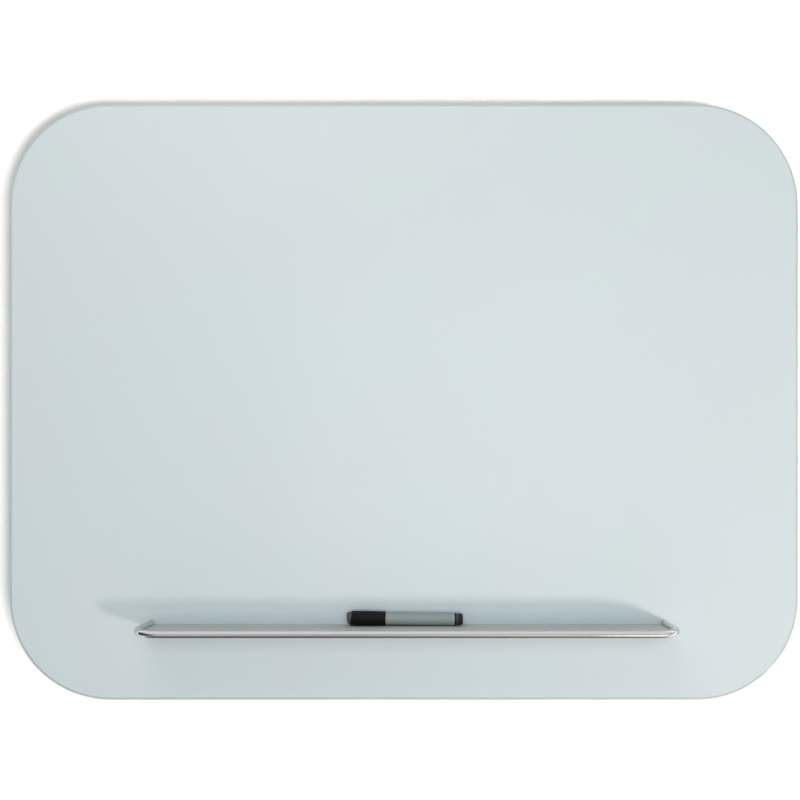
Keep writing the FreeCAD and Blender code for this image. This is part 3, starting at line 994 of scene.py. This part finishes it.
room_half = 3.0
floor_level = -1.5
wall_top = 2.4
wall_gap = 0.3 * mm
room_front = -4.0
room_behind = 3.0
wall = stage_plane(
    "wall",
    (
        (-room_half, wall_gap, floor_level),
        (room_half, wall_gap, floor_level),
        (room_half, wall_gap, wall_top),
        (-room_half, wall_gap, wall_top),
    ),
    white_wall(),
)
pale_floor = moulded("pale_floor_screed", "#C6C5C1", "#D0CFCB", 8 * mm, (0.8, 0.95), 0.1 * mm)
floor = stage_plane(
    "floor",
    (
        (-room_half, room_front, floor_level),
        (room_half, room_front, floor_level),
        (room_half, room_behind, floor_level),
        (-room_half, room_behind, floor_level),
    ),
    pale_floor,
)
floor.visible_shadow = False


# Light: a broad cool bank stands in front, a warm softbox low on the right throws the tray's shadow up and to the
# left, and a weak bank hangs above. A strip low on the right puts the highlight on the rod's bend. One more bank, on
# the far side of the wall, lights the board's back.
def softbox(name, place, target, width, height, watts, hex_code, mirrored=False):
    """Area light at place that faces target. A mirrored one shows in metal and glass and lights nothing else."""
    light = bpy.data.lights.new(name, "AREA")
    light.shape = "RECTANGLE"
    light.size = width
    light.size_y = height
    light.energy = watts
    light.color = linear(hex_code)[:3]
    lamp = bpy.data.objects.new(name, light)
    lamp.location = place
    lamp.rotation_euler = (Vector(target) - Vector(place)).to_track_quat("-Z", "Y").to_euler()
    lamp.visible_glossy = mirrored
    lamp.visible_diffuse = not mirrored
    bpy.context.scene.collection.objects.link(lamp)


tray_front = Vector((0, rod_front, rod_middle))
board_middle = Vector((0, glass_low.y, 0))
softbox("front_bank", (0.15, -2.4, 0.12), board_middle, 1.4, 1.4, 29, "#EEFEFF")
softbox("key_softbox", tray_front + Vector((1.28, -1.37, -0.47)), tray_front, 0.24, 0.24, 15.2, "#FFEDE2")
softbox("top_bank", (-0.3, -0.8, 0.9), board_middle, 0.8, 0.8, 4.1, "#FFEDE3")
right_bend = Vector((rod_right, rod_front, rod_middle))
softbox("strip", (1.05, -0.91, -0.97), right_bend, 1.26, 0.26, 3.6, "#FFFFFF", mirrored=True)
softbox("back_bank", (-0.8, 2.0, 0.8), board_middle, 1.2, 1.2, 20, "#FFFFFF")

# Wall washer: a wide, even light from low on the right that falls on the wall alone. It keeps the wall white and
# leaves the board's soft drop shadow on the left and above.
washer_light = bpy.data.lights.new("wall_washer", "SUN")
washer_light.energy = 4.4
washer_light.angle = 0.48
washer = bpy.data.objects.new("wall_washer", washer_light)
washer.rotation_euler = Vector((-0.85, 1.0, 0.87)).to_track_quat("-Z", "Y").to_euler()
washer.visible_glossy = False
bpy.context.scene.collection.objects.link(washer)
washed = bpy.data.collections.new("washed_wall")
washed.objects.link(wall)
washer.light_linking.receiver_collection = washed

# Air: a faint cool light from all round, and plain white wherever the open room shows
ambient = 0.23
world = bpy.data.worlds.new("white_room")
world.use_nodes = True
bpy.context.scene.world = world
sky = world.node_tree
seen = shown_directly(sky)[0]
air = add(sky, "ShaderNodeBackground", {"Color": linear("#EDFFFF"), "Strength": ambient})
white = add(sky, "ShaderNodeBackground", {"Color": linear("#FFFFFF"), "Strength": 1.0})
mixed = add(sky, "ShaderNodeMixShader", {0: seen, 1: air.outputs[0], 2: white.outputs[0]})
feed(sky, sky.nodes["World Output"], {"Surface": mixed.outputs[0]})


# Cards: glowing stage cards that paint the rod's reflected light and shade, in place of a photographer's flags. A
# grey sweep lies dark below the tray, a painted shade, and pales to the front; a card on each side paints the dark
# spot and the grey line in the rod's bends. Only what stands out from the board shows them, so the glass stays clear.
sweep_top = 1.6


def reflection_glow(name, shades, brighter_right=0.0):
    """Glowing card that paints reflected light and shade, from its (Y, grey) shades, paler towards +X by a share and
    upwards to white.
    """
    fade_left = -0.1
    fade_right = 0.3
    glass_skin = 6 * mm
    material, tree, _, place = new_material(name)
    split = add(tree, "ShaderNodeSeparateXYZ", {"Vector": place})
    start, end = shades[0][0], shades[-1][0]
    depth = add(tree, "ShaderNodeMapRange", {"Value": split.outputs["Y"], "From Min": start, "From Max": end})
    ramp = add(tree, "ShaderNodeValToRGB", {"Fac": depth.outputs[0]})
    for at, (y, grey) in enumerate(shades):
        position = (y - start) / (end - start)
        stops = ramp.color_ramp.elements
        stop = stops[0] if at == 0 else stops[-1] if at == len(shades) - 1 else stops.new(position)
        stop.position = position
        stop.color = linear(grey)
    side = add(
        tree,
        "ShaderNodeMapRange",
        {
            "Value": split.outputs["X"],
            "From Min": fade_left,
            "From Max": fade_right,
            "To Min": 1.0,
            "To Max": 1.0 + brighter_right,
        },
    )
    upward = add(tree, "ShaderNodeMapRange", {"Value": split.outputs["Z"], "From Min": 0.0, "From Max": sweep_top})
    tone = add(
        tree,
        "ShaderNodeMix",
        {0: upward.outputs[0], 6: ramp.outputs["Color"], 7: linear("#FFFFFF")},
        data_type="RGBA",
    )
    glow = add(tree, "ShaderNodeEmission", {"Color": tone.outputs[2], "Strength": side.outputs[0]})
    geometry = add(tree, "ShaderNodeNewGeometry")
    path = add(tree, "ShaderNodeLightPath")
    origin = add(
        tree,
        "ShaderNodeVectorMath",
        {0: geometry.outputs["Incoming"], 1: path.outputs["Ray Length"], 2: geometry.outputs["Position"]},
        operation="MULTIPLY_ADD",
    )
    source = add(tree, "ShaderNodeSeparateXYZ", {"Vector": origin.outputs[0]})
    from_glass = add(
        tree,
        "ShaderNodeMath",
        {0: source.outputs["Y"], 1: glass_low.y - glass_skin},
        operation="GREATER_THAN",
    )
    clear = add(tree, "ShaderNodeBsdfTransparent")
    shown = add(
        tree,
        "ShaderNodeMixShader",
        {0: from_glass.outputs[0], 1: glow.outputs[0], 2: clear.outputs[0]},
    )
    feed(tree, tree.nodes["Material Output"], {"Surface": shown.outputs[0]})
    return material


def card(name, corners, material):
    """Stage card that only reflections show."""
    piece = stage_plane(name, corners, material)
    piece.visible_camera = False
    piece.visible_diffuse = False
    piece.visible_shadow = False
    piece.visible_transmission = False


def side_corners(x, front, back, front_heights, back_heights):
    """Corners of an upright card across X, from its lower and upper height at each end."""
    return (
        (x, front, front_heights[0]),
        (x, back, back_heights[0]),
        (x, back, back_heights[1]),
        (x, front, front_heights[1]),
    )


sweep_level = -0.365
sweep_front = -2.0
sweep_left = -0.36
sweep_right = 0.37
sweep_half = 1.5
strip_side = 0.25
strip_back = -0.16
notch_back = -0.14
card_back = -0.005
pale_grey = "#D9D9D9"
# Painted shade: the sweep's greys darken towards the wall, under the tray, and show as the dark underline in the rod.
sweep_shades = (
    (sweep_front, pale_grey),
    (-0.4, "#CECECE"),
    (-0.175, "#979797"),
    (-0.1, "#6A6A6A"),
    (card_back, "#505050"),
)
sweep_glow_paint = reflection_glow("grey_sweep_painted_reflection", sweep_shades, 1.0)
# The sweep stops short on the right, where the strip has to show in the rod's bend
sweep_outline = (
    (sweep_left, sweep_front),
    (strip_side, sweep_front),
    (strip_side, strip_back),
    (sweep_right, notch_back),
    (sweep_right, card_back),
    (sweep_left, card_back),
)
card("sweep_flat", [(x, y, sweep_level) for x, y in sweep_outline], sweep_glow_paint)
upright_glow_paint = reflection_glow("pale_sweep_painted_reflection", ((sweep_front, pale_grey), (0.0, pale_grey)))
card(
    "sweep_upright",
    (
        (-sweep_half, sweep_front, sweep_level),
        (-sweep_half, sweep_front, sweep_top),
        (sweep_half, sweep_front, sweep_top),
        (sweep_half, sweep_front, sweep_level),
    ),
    upright_glow_paint,
)
flag_side = 0.62
flag_front = -0.8
# The side cards paint a dark reflection in the left bend and a grey line above the highlight in the right bend.
dark_flag_glow_paint = reflection_glow("dark_flag_painted_reflection", ((flag_front, "#5A5A5C"), (0.0, "#5A5A5C")))
card("left_flag", side_corners(-flag_side, -1.0, card_back, (-0.275, -0.235), (-0.5, -0.08)), dark_flag_glow_paint)
grey_flag_glow_paint = reflection_glow("grey_flag_painted_reflection", ((flag_front, "#A8A09C"), (0.0, "#A8A09C")))
card("right_flag", side_corners(flag_side, -0.45, card_back, (-0.26, -0.2), (-0.26, -0.16)), grey_flag_glow_paint)

# Camera: straight on, a hand above the tray, with the frame slid up and over to take in the whole board.
eye = Vector((0.022, glass_low.y - 0.872, -0.097))
frame_width = 0.9125
frame_middle = Vector((-0.0044, 0, 0.0022))
lens = bpy.data.cameras.new("camera")
lens.lens = lens.sensor_width * (glass_low.y - eye.y) / frame_width
lens.shift_x = (frame_middle.x - eye.x) / frame_width
lens.shift_y = (frame_middle.z - eye.z) / frame_width
camera = bpy.data.objects.new("camera", lens)
camera.location = eye
camera.rotation_euler = (math.radians(90), 0, 0)
bpy.context.scene.collection.objects.link(camera)
bpy.context.scene.camera = camera
bpy.context.scene.view_settings.view_transform = "Standard"
